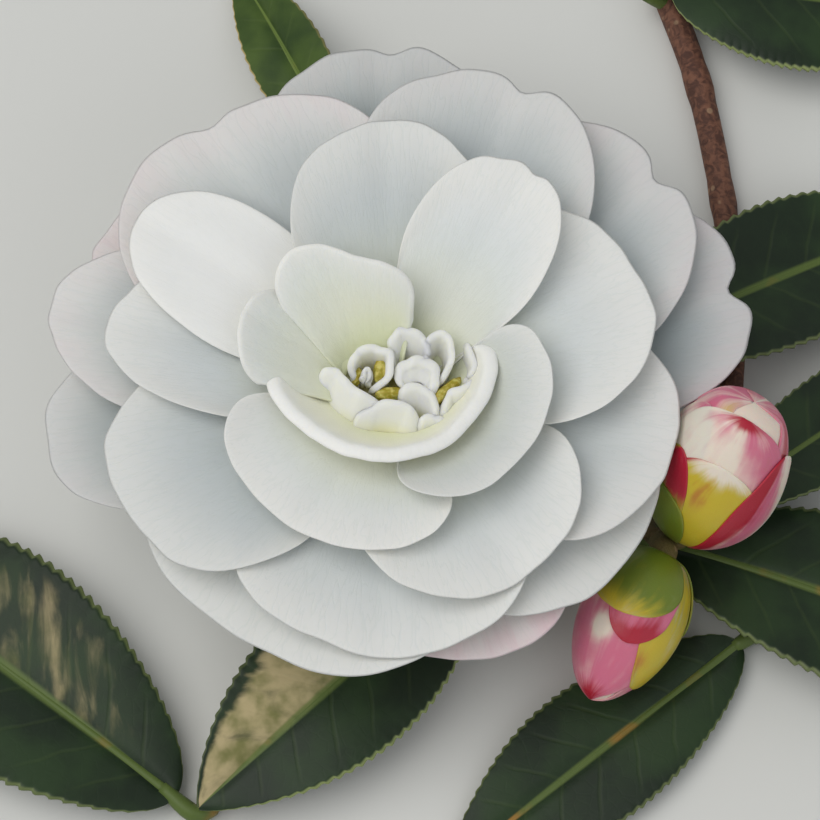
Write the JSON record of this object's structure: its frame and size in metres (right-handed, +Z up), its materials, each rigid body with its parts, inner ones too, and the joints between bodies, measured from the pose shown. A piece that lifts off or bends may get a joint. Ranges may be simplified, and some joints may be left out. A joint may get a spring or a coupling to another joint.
{
  "type": "cut camellia sprig",
  "caption": "Cut camellia sprig lying flat: a large white double bloom, pink-streaked buds and glossy toothed leaves on a thin branching brown twig.",
  "frame": {"origin": "middle of the sprig's box, on the level surface that it lies on", "axes": "+Z up, the way the bloom faces; +Y towards the cut end of the twig; +X across, along the sprig's longest side"},
  "size_m": [0.145, 0.1284, 0.0311],
  "materials": {
    "petal_white": "soft white petals, pale cream at their roots, faintly pink at some rims",
    "calyx_green": "satin yellow-green scales",
    "bark_brown": "rough reddish-brown bark",
    "bud_pink": "satin white petals streaked with pink and crimson",
    "leaf_green": "glossy dark green with paler veins and tan mottling",
    "young_leaf_green": "satin fresh green"
  },
  "bodies": {
    "root": {"bloom": "petal_white", "calyx": "calyx_green", "main_twig": "bark_brown", "flower_shoot": "bark_brown", "lower_shoot": "bark_brown", "upper_shoot": "bark_brown", "bud_spur": "bark_brown", "bud_right": "bud_pink", "bud_lower": "bud_pink", "leaf_top": "young_leaf_green", "leaf_top_right": "leaf_green", "leaf_left": "leaf_green", "leaf_bottom": "leaf_green", "leaf_lower_right": "leaf_green", "leaf_right": "leaf_green", "leaf_behind_bud": "leaf_green", "leaf_far_right": "leaf_green"}
  },
  "joints": []
}
